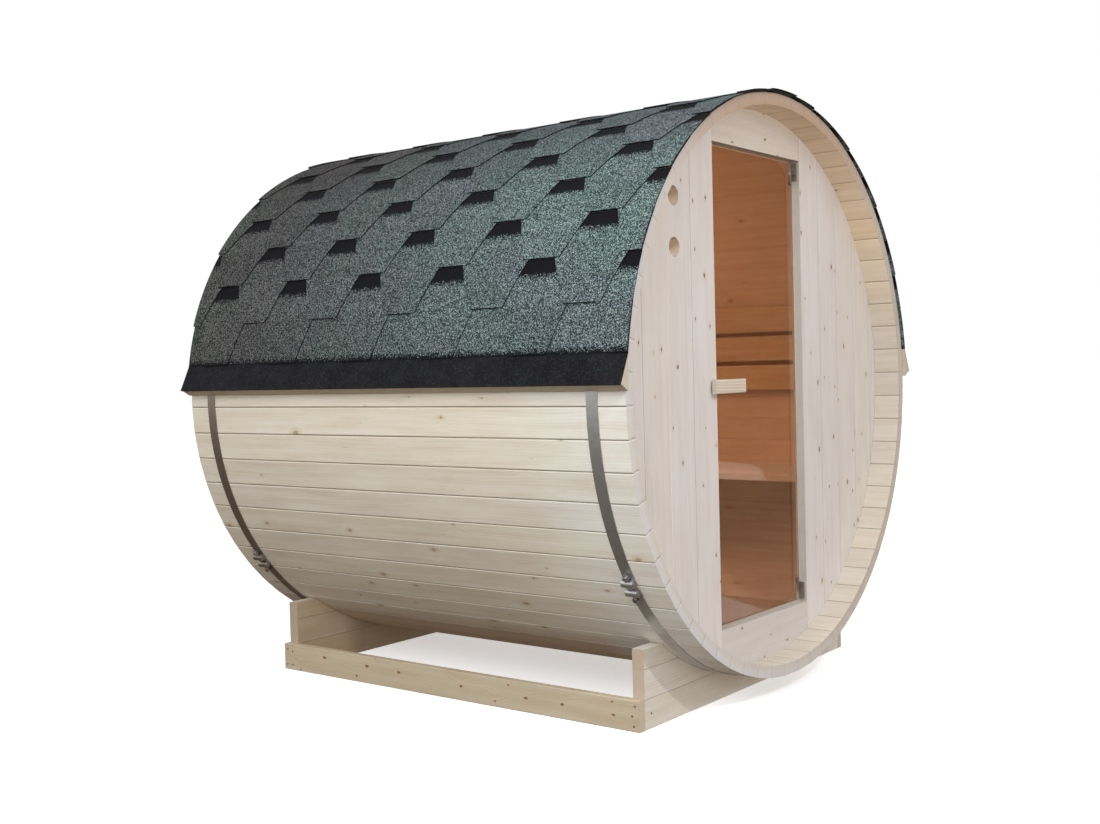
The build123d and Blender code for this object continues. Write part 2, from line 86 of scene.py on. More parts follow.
# Node graphs in short calls
class Graph:
    """Nodes of a material or a world, around its own shader."""

    def __init__(self, owner, shader="Principled BSDF"):
        owner.use_nodes = True
        self.tree = owner.node_tree
        self.shader = self.tree.nodes[shader]

    def feed(self, socket, value):
        if isinstance(value, bpy.types.NodeSocket):
            self.tree.links.new(value, socket)
        else:
            socket.default_value = value

    def add(self, kind, inputs, **settings):
        node = self.tree.nodes.new("ShaderNode" + kind)
        for key, value in settings.items():
            setattr(node, key, value)
        for key, value in inputs.items():
            self.feed(node.inputs[key], value)
        return node

    def set(self, **inputs):
        for key, value in inputs.items():
            self.feed(self.shader.inputs[key.replace("_", " ")], value)

    def math(self, operation, *values):
        return self.add("Math", dict(enumerate(values)), operation=operation).outputs[0]

    def times(self, first, *others):
        """Product of two or more values."""
        for other in others:
            first = self.math("MULTIPLY", first, other)
        return first

    def without(self, share):
        """What is left of 1."""
        return self.math("SUBTRACT", 1.0, share)

    def coordinates(self):
        """The surface point in the object's own frame."""
        return self.add("TexCoord", {}).outputs["Object"]

    def place(self):
        """X, Y and Z of the surface point in the object's own frame."""
        return self.add("SeparateXYZ", {0: self.coordinates()}).outputs

    def facing(self, axis):
        """How squarely the surface faces along an axis, 0 to 1, either way."""
        normal = self.add("TexCoord", {}).outputs["Normal"]
        return self.math("ABSOLUTE", self.add("SeparateXYZ", {0: normal}).outputs[axis])

    def vector(self, x, y, z=0.0):
        return self.add("CombineXYZ", {0: x, 1: y, 2: z}).outputs[0]

    def length(self, x, y):
        return self.math("SQRT", self.math("MULTIPLY_ADD", x, x, self.math("MULTIPLY", y, y)))

    def colour(self, red, green, blue):
        return self.add("CombineColor", {0: red, 1: green, 2: blue}).outputs[0]

    def channels(self, colour):
        return self.add("SeparateColor", {0: colour}).outputs

    def noise(self, vector, scale, detail=3.0, roughness=0.55):
        inputs = {"Vector": vector, "Scale": scale, "Detail": detail, "Roughness": roughness}
        return self.add("TexNoise", inputs).outputs[0]

    def voronoi(self, vector, scale, dimensions="3D"):
        inputs = {"Vector": vector, "Scale": scale}
        return self.add("TexVoronoi", inputs, voronoi_dimensions=dimensions).outputs

    def attribute(self, name):
        return self.add("Attribute", {}, attribute_name=name).outputs["Fac"]

    def span(self, value, low, high, to_low=0.0, to_high=1.0):
        """Value carried smoothly from low..high to to_low..to_high, and held there outside."""
        inputs = {0: value, 1: low, 2: high, 3: to_low, 4: to_high}
        return self.add("MapRange", inputs, interpolation_type="SMOOTHSTEP").outputs[0]

    def mix(self, factor, a, b, blend="MIX"):
        node = self.add("Mix", {}, data_type="RGBA", blend_type=blend)
        for index, value in ((0, factor), (6, a), (7, b)):
            self.feed(node.inputs[index], value)
        return node.outputs[2]

    def tint(self, factor, colour, tint):
        """Colour multiplied by a tint, as far as the factor says."""
        return self.mix(factor, colour, tint, "MULTIPLY")

    def ramp(self, factor, *stops):
        node = self.add("ValToRGB", {0: factor})
        elements = node.color_ramp.elements
        while len(elements) < len(stops):
            elements.new(1.0)
        for element, (position, colour) in zip(elements, stops):
            element.position = position
            element.color = colour
        return node.outputs[0]

    def bump(self, height, distance, strength):
        inputs = {"Height": height, "Distance": distance, "Strength": strength}
        self.set(Normal=self.add("Bump", inputs).outputs[0])


def painted(name):
    """A new material and its graph."""
    paint = bpy.data.materials.new(name)
    return paint, Graph(paint)


# How boards are laid: along, across and through a board, its number, its share across and its width,
# and the axes along it and across it
AXES = {"X": 0, "Y": 1, "Z": 2}
SIDE_NUMBERS = 40.0


def straight(along, across, through, start, width, mirrored=False):
    """Boards side by side along an axis; mirrored ones are counted outwards from the middle."""
    def lay(graph):
        place = graph.place()
        side = place[AXES[across]]
        from_start = graph.math("SUBTRACT", graph.math("ABSOLUTE", side) if mirrored else side, start)
        share = graph.math("DIVIDE", from_start, width)
        number = graph.math("FLOOR", share)
        if mirrored:
            number = graph.math("MULTIPLY_ADD", graph.math("SIGN", side), SIDE_NUMBERS, number)
        share = graph.math("FRACT", share)
        across_board = graph.math("MULTIPLY", share, width)
        axes = AXES[along], AXES[across]
        return place[AXES[along]], across_board, place[AXES[through]], number, share, width, axes
    return lay


def around(start, pitch, radius):
    """Boards side by side round the barrel's axis, running lengthwise."""
    def lay(graph):
        place = graph.place()
        up = graph.math("SUBTRACT", place[2], AXIS_Z)
        turn = graph.math("ARCTAN2", up, place[0])
        share = graph.math("DIVIDE", graph.math("SUBTRACT", turn, start), pitch)
        number = graph.math("FLOOR", share)
        share = graph.math("FRACT", share)
        width = pitch * radius
        across_board = graph.math("MULTIPLY", share, width)
        reach = graph.length(up, place[0])
        return place[1], across_board, reach, number, share, width, (AXES["Y"], None)
    return lay


# Spruce: how far a board's pattern is shifted from the next one's, and how much its tint may change
SHIFT_ALONG = 31.0
SHIFT_ACROSS = 17.0
BOARD_TINT = 0.03
BOARD_WARMTH = 2 * BOARD_TINT

# Noises drawn out along the grain, and what each adds to the tone
RAGGED = {"stretch": 0.6, "scale": 190.0}
MOTTLE = {"stretch": 0.3, "scale": 13.0, "detail": 4.0, "roughness": 0.6}
STREAK = {"stretch": 0.05, "scale": 46.0, "detail": 4.0, "roughness": 0.6}
FINE = {"stretch": 0.03, "scale": 420.0, "roughness": 0.6}
FLECK = {"stretch": 0.12, "scale": 120.0, "detail": 2.0, "roughness": 0.5}
MOTTLE_SHARE = 0.35
STREAK_SHARE = 0.5
FINE_SHARE = 0.14
TONE_SPAN = (0.34, 0.78)
FLECK_SPAN = (0.70, 0.82, 0.0, 0.5)
FLECK_COLOUR = srgb(168, 142, 112)

# Growth lines
RING_PITCH = 0.0085
SWAY = {"scale": 2.4, "detail": 2.0}
SWAY_ALONG = 0.5
SWAY_ACROSS = 2.0
SWAY_WIDTH = 0.075
LINE_RISE = (0.1, 0.9)
LINE_FALL = (1.0, 0.9)
LINE_HEIGHT = 0.35

# Knots
KNOT_STRETCH = 0.55
KNOT_RAGGEDNESS = 0.010
KNOT_CORE = 0.5
KNOT_RIM = 2.6
KNOT_RIM_DEPTH = 0.4
KNOT_RIM_COLOUR = srgb(206, 180, 146)
KNOT_DARKEST = 0.72
KNOT_HOLLOW = 0.6
SWELL_REACH = 0.055
SWELL_LINES = 2.6

# End grain and narrow faces
END_FACING = 0.85
BROAD_FACING = (0.8, 0.4)
PITH_DEPTH = 0.08
ARC_PITCH = 0.0045
ARC_SHARE = 0.4
PORES = {"scale": 700.0, "detail": 2.0}
PORE_SHARE = 0.5
CUT_DEPTH = 0.8
CUT_PALE = srgb(206, 199, 190)
CUT_TONE = srgb(192, 176, 160)

# Seams, relief and gloss
SEAM_COLOUR = srgb(98, 76, 54)
SEAM_DEPTH = (0.3, 0.7, 0.95, 0.55)
SEAM_CORE = 0.3
SEAM_ARRIS = 3
SEAM_INDOORS = 0.75
WOOD_SPECULAR = 0.4
WOOD_ROUGHNESS = (0.2, 0.8, 0.66, 0.5)
WOOD_RELIEF = (0.0006, 0.4)


def wood(
    name, lay, pale, deep, seam=0.0012, end_seam=0.3, knots=(0.26, 0.004, 0.007), knot_tone=(158, 124, 92),
    knot_depth=0.6, knot_cells=6.5, grain=0.12, arris=0.0, cut_tint=None, edge_tint=None, finish=None,
):
    """Planed spruce: mottle, streaks and growth lines along the board, knots, end grain, dark seams.

    Knots are the share of cells that hold one, the least radius and how much larger they may be.
    Arris is how deep the boards' edges are rounded. Cut tint is for the end grain, edge tint for the narrow
    faces of boards, and finish is a last step that paints light and shade into the colour by place and
    changes the seams' depth.
    """
    paint, g = painted(name)
    along, across, through, number, share, width, (axis, side_axis) = lay(g)
    dice = g.channels(g.add("TexWhiteNoise", {"W": number}, noise_dimensions="1D").outputs["Color"])
    x = g.math("MULTIPLY_ADD", dice[0], SHIFT_ALONG, along)
    y = g.math("MULTIPLY_ADD", dice[1], SHIFT_ACROSS, across)

    def drawn_out(depth, stretch, **noise):
        return g.noise(g.vector(g.math("MULTIPLY", x, stretch), y, depth), **noise)

    # Knots, one in some of the cells, with the growth lines bulging round them
    knot_share, knot_least, knot_more = knots
    cells = g.voronoi(g.vector(g.math("MULTIPLY", x, KNOT_STRETCH), y), knot_cells, "2D")
    distance = g.math("DIVIDE", cells["Distance"], knot_cells)
    cell = g.channels(cells["Color"])
    present = g.math("LESS_THAN", cell[0], knot_share)
    radius = g.math("MULTIPLY_ADD", g.math("POWER", cell[1], 2.0), knot_more, knot_least)
    ragged = g.math("SUBTRACT", drawn_out(0.0, **RAGGED), 0.5)
    ragged = g.math("MULTIPLY_ADD", ragged, KNOT_RAGGEDNESS, distance)
    core = g.times(g.span(ragged, radius, g.math("MULTIPLY", radius, KNOT_CORE)), present)
    rim = g.times(g.span(ragged, g.math("MULTIPLY", radius, KNOT_RIM), radius), present)
    swell = g.times(g.span(distance, SWELL_REACH, 0.0), present)

    # Mottle, streaks and growth lines
    mottle = drawn_out(dice[2], **MOTTLE)
    streak = drawn_out(through, **STREAK)
    fine = drawn_out(through, **FINE)
    sway = g.vector(g.math("MULTIPLY", x, SWAY_ALONG), g.math("MULTIPLY", y, SWAY_ACROSS))
    level = g.math("MULTIPLY_ADD", g.noise(sway, **SWAY), SWAY_WIDTH, y)
    level = g.math("MULTIPLY_ADD", swell, SWELL_LINES, g.math("DIVIDE", level, RING_PITCH))
    lines = g.math("FRACT", level)
    lines = g.times(g.span(lines, *LINE_RISE), g.span(lines, *LINE_FALL))
    tone = g.math("MULTIPLY_ADD", lines, grain, g.math("MULTIPLY", streak, STREAK_SHARE))
    tone = g.math("MULTIPLY_ADD", mottle, MOTTLE_SHARE, tone)
    tone = g.math("MULTIPLY_ADD", fine, FINE_SHARE, tone)
    colour = g.mix(g.span(tone, *TONE_SPAN), pale, deep)

    # Short dark flecks along the grain
    colour = g.mix(g.span(drawn_out(dice[1], **FLECK), *FLECK_SPAN), colour, FLECK_COLOUR)

    # End grain where the cut shows
    end = g.math("GREATER_THAN", g.facing(axis), END_FACING)
    broad = 1.0 if side_axis is None else g.span(g.facing(side_axis), *BROAD_FACING)
    flat = g.times(g.without(end), broad)
    pith_x = g.math("SUBTRACT", across, g.math("MULTIPLY", dice[1], width))
    pith_y = g.math("MULTIPLY_ADD", dice[2], PITH_DEPTH, through)
    arcs = g.math("FRACT", g.math("DIVIDE", g.length(pith_x, pith_y), ARC_PITCH))
    pores = g.noise(g.vector(across, through, along), **PORES)
    end_tone = g.math("MULTIPLY_ADD", pores, PORE_SHARE, g.math("MULTIPLY", arcs, ARC_SHARE))
    colour = g.mix(g.times(end, CUT_DEPTH), colour, g.mix(end_tone, CUT_PALE, CUT_TONE))
    if cut_tint:
        colour = g.tint(end, colour, cut_tint)

    # Knots, the board's own tint, and the dark seam at its edges
    colour = g.mix(g.times(rim, KNOT_RIM_DEPTH, flat), colour, KNOT_RIM_COLOUR)
    knot = g.mix(cell[2], srgb(*knot_tone), srgb(*(level * KNOT_DARKEST for level in knot_tone)))
    colour = g.mix(g.times(core, knot_depth, flat), colour, knot)
    board = g.math("MULTIPLY_ADD", dice[2], -BOARD_TINT, 1.0)
    warm = g.math("MULTIPLY_ADD", dice[0], -BOARD_WARMTH, 1.0)
    colour = g.tint(1.0, colour, g.colour(board, board, warm))
    if edge_tint:
        colour = g.tint(g.without(broad), colour, edge_tint)
    indoors = 0.0
    # A finish step paints light and shade into the colour by place.
    if finish:
        colour, indoors = finish(g, colour, through, end)
    height = g.math("MULTIPLY_ADD", core, -KNOT_HOLLOW, g.math("MULTIPLY_ADD", lines, LINE_HEIGHT, fine))
    if seam:
        edge = g.times(g.math("MINIMUM", share, g.without(share)), width)
        outdoors = g.math("MULTIPLY_ADD", indoors, -SEAM_INDOORS, 1.0)
        at_end = g.math("MULTIPLY_ADD", end, end_seam - 1.0, 1.0)
        depth = g.times(g.span(mottle, *SEAM_DEPTH), at_end, outdoors, broad)
        colour = g.mix(g.times(g.span(edge, seam, seam * SEAM_CORE), depth), colour, SEAM_COLOUR)
        rounding = g.times(g.span(edge, SEAM_ARRIS * seam, 0.0), outdoors)
        height = g.math("MULTIPLY_ADD", rounding, -arris, height)
    g.set(Base_Color=colour, Specular_IOR_Level=WOOD_SPECULAR)
    g.set(Roughness=g.span(streak, *WOOD_ROUGHNESS))
    g.bump(height, *WOOD_RELIEF)
    return paint


# Shingles: mineral granules, with the shadow print near the top of each strip, and painted light and shade
# that make them paler and bluer at the front and darker at the rear and the crown
STONE_CELLS = 430.0
DUST_CELLS = 900.0
STONE_SHARE = 0.8
DUST_SHARE = 0.2
STONE_STOPS = (
    (0.10, srgb(16, 18, 19)), (0.40, srgb(50, 55, 56)),
    (0.62, srgb(78, 87, 87)), (0.90, srgb(162, 173, 170)),
)
STONE_SPECULAR = 0.15
STONE_ROUGHNESS = 0.9
STONE_RELIEF = (0.0018, 0.6)
DRIFT = {"scale": 2.8, "detail": 2.0}
DRIFT_SPAN = (0.40, 0.60)
GREEN_WEATHER = (0.94, 0.99, 0.95, 1.0)
PLUM_WEATHER = (1.00, 0.94, 0.99, 1.0)
# Painted light and shade: paler and bluer towards the front, darker towards the rear and near the crown
FRONT_LIGHT_TINT = (1.16, 1.32, 1.37, 1.0)
REAR_SHADE_TINT = (0.70, 0.62, 0.61, 1.0)
CROWN_SHADE_TINT = (0.80, 0.74, 0.76, 1.0)
CROWN_SHADE_HEIGHTS = (1.66, 1.86)
DARKEST_TAB = 0.88
TAB_RANGE = 0.22
SHADOW_FROM_SHARE = 1.62
SHADOW_FUZZ_SHARE = 0.15
SHADOW_SOFT_SHARE = 0.02
SHADOW_COLOUR = srgb(16, 17, 20)


def granules():
    paint, g = painted("mineral_granules")
    coordinates = g.coordinates()
    stones = g.voronoi(coordinates, STONE_CELLS)
    dust = g.voronoi(coordinates, DUST_CELLS)
    stone_cell = g.channels(stones["Color"])
    dust_cell = g.channels(dust["Color"])
    tone = g.math("MULTIPLY_ADD", dust_cell[0], DUST_SHARE, g.math("MULTIPLY", stone_cell[0], STONE_SHARE))
    colour = g.ramp(tone, *STONE_STOPS)
    drift = g.span(g.noise(coordinates, **DRIFT), *DRIFT_SPAN)
    colour = g.tint(1.0, colour, g.mix(drift, GREEN_WEATHER, PLUM_WEATHER))
    # Painted light and shade: paler and bluer towards the front, darker towards the rear and near the crown.
    place = g.place()
    forwards = g.span(place[1], HALF_ROOF, -HALF_ROOF)
    colour = g.tint(1.0, colour, g.mix(forwards, REAR_SHADE_TINT, FRONT_LIGHT_TINT))
    colour = g.tint(g.span(place[2], *CROWN_SHADE_HEIGHTS), colour, CROWN_SHADE_TINT)
    shade = g.math("MULTIPLY_ADD", g.attribute("tab"), TAB_RANGE, DARKEST_TAB)
    colour = g.tint(1.0, colour, g.colour(shade, shade, shade))
    scatter = g.math("SUBTRACT", stone_cell[1], 0.5)
    fuzzy = g.math("MULTIPLY_ADD", scatter, SHADOW_FUZZ_SHARE, g.attribute("rise"))
    dark = g.span(fuzzy, SHADOW_FROM_SHARE - SHADOW_SOFT_SHARE, SHADOW_FROM_SHARE + SHADOW_SOFT_SHARE)
    g.set(Base_Color=g.mix(dark, colour, SHADOW_COLOUR))
    g.set(Roughness=STONE_ROUGHNESS, Specular_IOR_Level=STONE_SPECULAR)
    g.bump(g.math("ADD", stones["Distance"], dust["Distance"]), *STONE_RELIEF)
    return paint


FELT_CELLS = 300.0
FELT_CLOUD_SCALE = 14.0
FELT_DARK = srgb(14, 14, 17)
FELT_FLECK_FROM = 0.86
FELT_SPECULAR = 0.2
FELT_ROUGHNESS = (0.3, 0.7, 0.72, 0.92)
FELT_RELIEF = (0.0012, 0.5)


def bitumen(name, tone, fleck, fleck_share):
    """Black felt with a few paler grains."""
    paint, g = painted(name)
    coordinates = g.coordinates()
    grains = g.voronoi(coordinates, FELT_CELLS)
    cloud = g.noise(coordinates, FELT_CLOUD_SCALE)
    pale = g.math("GREATER_THAN", g.channels(grains["Color"])[0], FELT_FLECK_FROM)
    colour = g.mix(g.times(pale, fleck_share), g.mix(cloud, tone, FELT_DARK), fleck)
    g.set(Base_Color=colour, Specular_IOR_Level=FELT_SPECULAR)
    g.set(Roughness=g.span(cloud, *FELT_ROUGHNESS))
    g.bump(grains["Distance"], *FELT_RELIEF)
    return paint


STEEL_CLOUD = {"scale": 22.0, "detail": 5.0, "roughness": 0.65}
STEEL_SCRATCH = {"scale": 900.0, "detail": 2.0}
STAIN_SPAN = (0.45, 0.75)
SPANGLE_CELLS = 420.0
SPANGLE_DEPTH = 0.08
SPANGLE_COLOUR = srgb(214, 216, 218)
STEEL_DULLING = 0.22
STEEL_RELIEF = (0.0002, 0.25)


def steel(name, tone, stain, metallic, roughness, stain_share):
    """Rolled steel, clouded and finely scratched."""
    paint, g = painted(name)
    coordinates = g.coordinates()
    cloud = g.noise(coordinates, **STEEL_CLOUD)
    spangle = g.channels(g.voronoi(coordinates, SPANGLE_CELLS)["Color"])[0]
    colour = g.mix(g.span(cloud, *STAIN_SPAN, 0.0, stain_share), tone, stain)
    colour = g.mix(g.times(spangle, SPANGLE_DEPTH), colour, SPANGLE_COLOUR)
    g.set(Base_Color=colour, Metallic=metallic)
    g.set(Roughness=g.math("MULTIPLY_ADD", cloud, STEEL_DULLING, roughness))
    g.bump(g.noise(coordinates, **STEEL_SCRATCH), *STEEL_RELIEF)
    return paint


GLASS_HAZE_SCALE = 3.0
GLASS_PALE = srgb(214, 170, 138)
GLASS_DEEP = srgb(206, 160, 126)
GLASS_ROUGHNESS = (0.3, 0.7, 0.01, 0.035)
GLASS_IOR = 1.5


def tinted_glass():
    paint, g = painted("bronze_glass")
    haze = g.noise(g.coordinates(), GLASS_HAZE_SCALE)
    g.set(Base_Color=g.mix(haze, GLASS_PALE, GLASS_DEEP))
    g.set(Roughness=g.span(haze, *GLASS_ROUGHNESS))
    g.set(Transmission_Weight=1.0, IOR=GLASS_IOR)
    return paint


# Wood tones: the paler and the deeper one of each kind of board
STAVE_TONES = srgb(231, 226, 214), srgb(212, 200, 181)
WALL_TONES = srgb(221, 217, 217), srgb(209, 200, 196)
# The header's darker, warmer tones are painted shade under the barrel's overhang, and the sill's darker ones
# are painted shade low on the wall.
HEADER_TONES = srgb(218, 211, 205), srgb(206, 194, 185)
SILL_TONES = srgb(210, 205, 204), srgb(198, 189, 184)
INNER_TONES = srgb(233, 220, 198), srgb(210, 181, 148)
# The seat's near-white tones are partly the seat's pale wood and partly painted light where light falls on it
# through the door.
SEAT_TONES = srgb(226, 226, 224), srgb(214, 210, 204)
TREAD_TONES = srgb(163, 153, 141), srgb(145, 132, 117)
BASE_TONES = srgb(230, 227, 221), srgb(212, 203, 190)
RUNNER_TONES = srgb(203, 190, 168), srgb(186, 170, 144)
WEDGE_TONES = srgb(214, 204, 186), srgb(196, 182, 160)
BAR_TONES = srgb(223, 216, 206), srgb(203, 191, 174)

# Tints of narrow faces and end grain, and of staves and the rear cradle by where they are. The vents' bore
# tint is painted light, the rear cradle's tints are painted shade, and the staves' tints by front, belly,
# height and crown are painted light and shade.
EDGE_TINT = (0.68, 0.72, 0.70, 1.0)
BORE_LIGHT_TINT = (1.30, 1.20, 1.00, 1.0)
BASE_CUT_TINT = (0.87, 0.80, 0.70, 1.0)
REAR_CUT_SHADE_TINT = (0.74, 0.67, 0.56, 1.0)
REAR_CRADLE_SHADE_TINT = (0.68, 0.59, 0.48, 1.0)
UNDER_BARREL_SHADE_TINT = (0.45, 0.38, 0.31, 1.0)
BELLY_SHADE_TINT = (0.78, 0.66, 0.59, 1.0)
FRONT_SIDE_LIGHT_TINT = (1.03, 1.07, 1.17, 1.0)
ROOM_TINT = (1.10, 0.98, 0.93, 1.0)
SEAT_BACK_TINT = (0.97, 0.80, 0.71, 1.0)
UNDER_BENCH_TINT = (1.18, 1.22, 1.30, 1.0)
FOOT_TINT = (0.75, 0.73, 0.83, 1.0)
PORCH_TINT = (0.86, 0.84, 0.85, 1.0)
CROWN_TINT = (1.26, 1.13, 1.00, 1.0)
LEFT_END_TINT = (1.02, 1.07, 1.15, 1.0)
RIGHT_END_TINT = (0.94, 0.91, 0.88, 1.0)
CROWN_END_SHADE_TINT = (0.75, 0.60, 0.49, 1.0)

# Where one tint passes into the next, in metres
OUTER_REACH = (0.915, 0.935)
FRONT_SIDE_Y = (-0.40, -0.85)
BELLY_HEIGHTS = (0.26, 0.18)
BELLY_Y = (-0.76, -0.45)
PORCH_HEIGHTS = (1.1, 1.7)
BENCH_HEIGHTS = (0.22, 0.62)
SEAT_BACK_HEIGHTS = (0.64, 0.70)
ROOM_HEIGHTS = (0.92, 1.08)
END_X = (-0.2, 0.55)
CROWN_END_HEIGHTS = (1.55, 1.93)
UNDER_BARREL_X = (0.45, 0.33)


def stave_light_and_shade(g, colour, through, end):
    """Staves with painted light and shade: paler at the front as painted light, brown below as painted shade
    under the barrel, warmer inside with painted light and shade by height, and ends that turn from grey to
    brown, browner at the top as painted shade.
    """
    x, y, z = g.place()
    outer = g.span(through, *OUTER_REACH)
    # Painted light: the outside is paler and bluer towards the front.
    colour = g.tint(g.times(outer, g.span(y, *FRONT_SIDE_Y)), colour, FRONT_SIDE_LIGHT_TINT)
    # Painted shade: the outside turns browner low under the barrel, away from the front.
    belly = g.times(g.span(z, *BELLY_HEIGHTS), g.span(y, *BELLY_Y))
    colour = g.tint(g.times(outer, belly), colour, BELLY_SHADE_TINT)
    # Painted light and shade inside, by height: the soffit darker low and paler and warmer at the crown; the
    # cabin's staves darker at the foot, paler under the bench, browner behind the seat and warmer above.
    inside = g.without(g.math("MAXIMUM", outer, end))
    room = g.math("LESS_THAN", g.math("ABSOLUTE", y), WALL_PLANE)
    porch = g.mix(g.span(z, *PORCH_HEIGHTS), PORCH_TINT, CROWN_TINT)
    indoor = g.mix(g.span(z, *BENCH_HEIGHTS), FOOT_TINT, UNDER_BENCH_TINT)
    indoor = g.mix(g.span(z, *SEAT_BACK_HEIGHTS), indoor, SEAT_BACK_TINT)
    indoor = g.mix(g.span(z, *ROOM_HEIGHTS), indoor, ROOM_TINT)
    colour = g.tint(inside, colour, g.mix(room, porch, indoor))
    # The cut ends turn from grey on the left to brown on the right, and painted shade makes them browner at
    # the top, under the roof's edge.
    cut = g.mix(g.span(x, *END_X), LEFT_END_TINT, RIGHT_END_TINT)
    cut = g.mix(g.span(z, *CROWN_END_HEIGHTS), cut, CROWN_END_SHADE_TINT)
    return g.tint(end, colour, cut), g.times(inside, room)


def shaded(g, colour, through, end):
    """Painted shade under the barrel: the rear cradle's inner face is darker and browner, most so towards the
    middle.
    """
    low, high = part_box("rear_cradle")
    face = g.times(g.span(through, high.y, low.y), g.without(end))
    aside = g.math("ABSOLUTE", g.place()[0])
    shade = g.mix(g.span(aside, *UNDER_BARREL_X), REAR_CRADLE_SHADE_TINT, UNDER_BARREL_SHADE_TINT)
    return g.tint(face, colour, shade), 0.0


# Seams, knots and grain of each kind of board: dark pin knots in walls, many in runners, soft ones in staves
PIN_LOOK = {
    "knots": (0.70, 0.0029, 0.0032), "knot_tone": (112, 94, 82),
    "knot_depth": 0.9, "knot_cells": 10.0, "grain": 0.06,
}
RUNNER_LOOK = {
    "seam": 0.0, "knots": (0.70, 0.0036, 0.0030), "knot_tone": (120, 90, 62),
    "knot_depth": 0.9, "knot_cells": 13.0,
}
STAVE_LOOK = {
    "seam": 0.0018, "end_seam": 0.08, "knots": (0.32, 0.0030, 0.0065), "knot_tone": (138, 112, 86),
    "knot_depth": 0.55, "knot_cells": 8.0, "grain": 0.07, "arris": 5.0,
}
BAR_LOOK = {"seam": 0.0, "knots": (0.0, 0.004, 0.0), "grain": 0.5}

# Widths beyond the pieces' own, so that each piece is one board
RAIL_WIDTH = 4.0
BATTEN_WIDTH = 2.0
RUNNER_WIDTH = 0.5


def board_row(name, count):
    """Boards that run lengthwise, side by side, on a node of the frame."""
    low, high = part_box(name)
    return straight("Y", "X", "Z", low.x, (high.x - low.x) / count)


stave_lay = around(STAVE_SEAM, STAVE_PITCH, BARREL_RADIUS)
wall_lay = straight("Z", "X", "Y", JAMB_X, WALL_BOARD, mirrored=True)
rear_lay = straight("Z", "X", "Y", WALL_EDGE_X, WALL_BOARD)
rail_lay = straight("X", "Z", "Y", 0.0, RAIL_WIDTH)
batten_lay = straight("X", "Z", "Y", 0.0, BATTEN_WIDTH)
runner_lay = straight("Y", "Z", "X", 0.0, RUNNER_WIDTH)
cradle_lay = straight("X", "Z", "Y", 0.0, CRADLE_BOARD)
backrest_lay = around(BACKREST_START, BACKREST_PITCH, BARREL_RADIUS)
floor_lay = board_row("floor_boards", FLOOR_BOARD_COUNT)
bench_lay = board_row("bench_boards", BENCH_BOARD_COUNT)

stave_wood = wood("stave_spruce", stave_lay, *STAVE_TONES, finish=stave_light_and_shade, **STAVE_LOOK)
wall_wood = wood("wall_spruce", wall_lay, *WALL_TONES, edge_tint=EDGE_TINT, **PIN_LOOK)
# Painted light: the vents' bores are made paler through the narrow faces' tint.
vent_wood = wood("vent_spruce", wall_lay, *WALL_TONES, edge_tint=BORE_LIGHT_TINT, **PIN_LOOK)
rear_wood = wood("rear_spruce", rear_lay, *WALL_TONES, edge_tint=EDGE_TINT, **PIN_LOOK)
header_wood = wood("header_spruce", rail_lay, *HEADER_TONES, seam=0.0, edge_tint=EDGE_TINT, **PIN_LOOK)
sill_wood = wood("sill_spruce", rail_lay, *SILL_TONES, seam=0.0, edge_tint=EDGE_TINT, **PIN_LOOK)
floor_wood = wood("floor_spruce", floor_lay, *TREAD_TONES, seam=0.0)
bench_wood = wood("bench_spruce", bench_lay, *SEAT_TONES, seam=0.0)
backrest_wood = wood("backrest_spruce", backrest_lay, *INNER_TONES, seam=0.0)
cleat_wood = wood("cleat_spruce", batten_lay, *INNER_TONES, seam=0.0)
cradle_wood = wood("cradle_spruce", cradle_lay, *BASE_TONES, cut_tint=BASE_CUT_TINT)
# Painted shade: the rear cradle's inner face and end grain are darker than the front cradle's.
rear_cradle_wood = wood("rear_cradle_spruce", cradle_lay, *BASE_TONES, cut_tint=REAR_CUT_SHADE_TINT, finish=shaded)
wedge_wood = wood("wedge_spruce", runner_lay, *WEDGE_TONES, **RUNNER_LOOK)
stringer_wood = wood("stringer_spruce", runner_lay, *RUNNER_TONES, **RUNNER_LOOK)
handle_wood = wood("handle_spruce", batten_lay, *BAR_TONES, **BAR_LOOK)
shingle_granules = granules()
shingle_edge = bitumen("shingle_edge", srgb(20, 20, 22), srgb(52, 56, 56), fleck_share=0.55)
eave_felt = bitumen("eave_felt", srgb(16, 17, 23), srgb(52, 56, 68), fleck_share=0.40)
BAND_LOOK = {"metallic": 0.92, "roughness": 0.30, "stain_share": 0.6}
HINGE_LOOK = {"metallic": 0.85, "roughness": 0.40, "stain_share": 0.5}
ZINC_LOOK = {"metallic": 0.9, "roughness": 0.28, "stain_share": 0.5}
NAIL_LOOK = {"metallic": 0.6, "roughness": 0.45, "stain_share": 0.8}
front_band_steel = steel("front_band_steel", srgb(208, 209, 211), srgb(172, 164, 156), **BAND_LOOK)
# The rear band is the same steel as the front band; its darker, browner tone is painted shade.
rear_band_steel = steel("rear_band_steel", srgb(168, 157, 144), srgb(138, 122, 104), **BAND_LOOK)
hinge_steel = steel("hinge_steel", srgb(150, 140, 132), srgb(120, 108, 98), **HINGE_LOOK)
zinc_steel = steel("zinc_steel", srgb(146, 144, 143), srgb(104, 98, 92), **ZINC_LOOK)
nail_steel = steel("nail_steel", srgb(120, 104, 86), srgb(84, 64, 48), **NAIL_LOOK)
door_glass = tinted_glass()

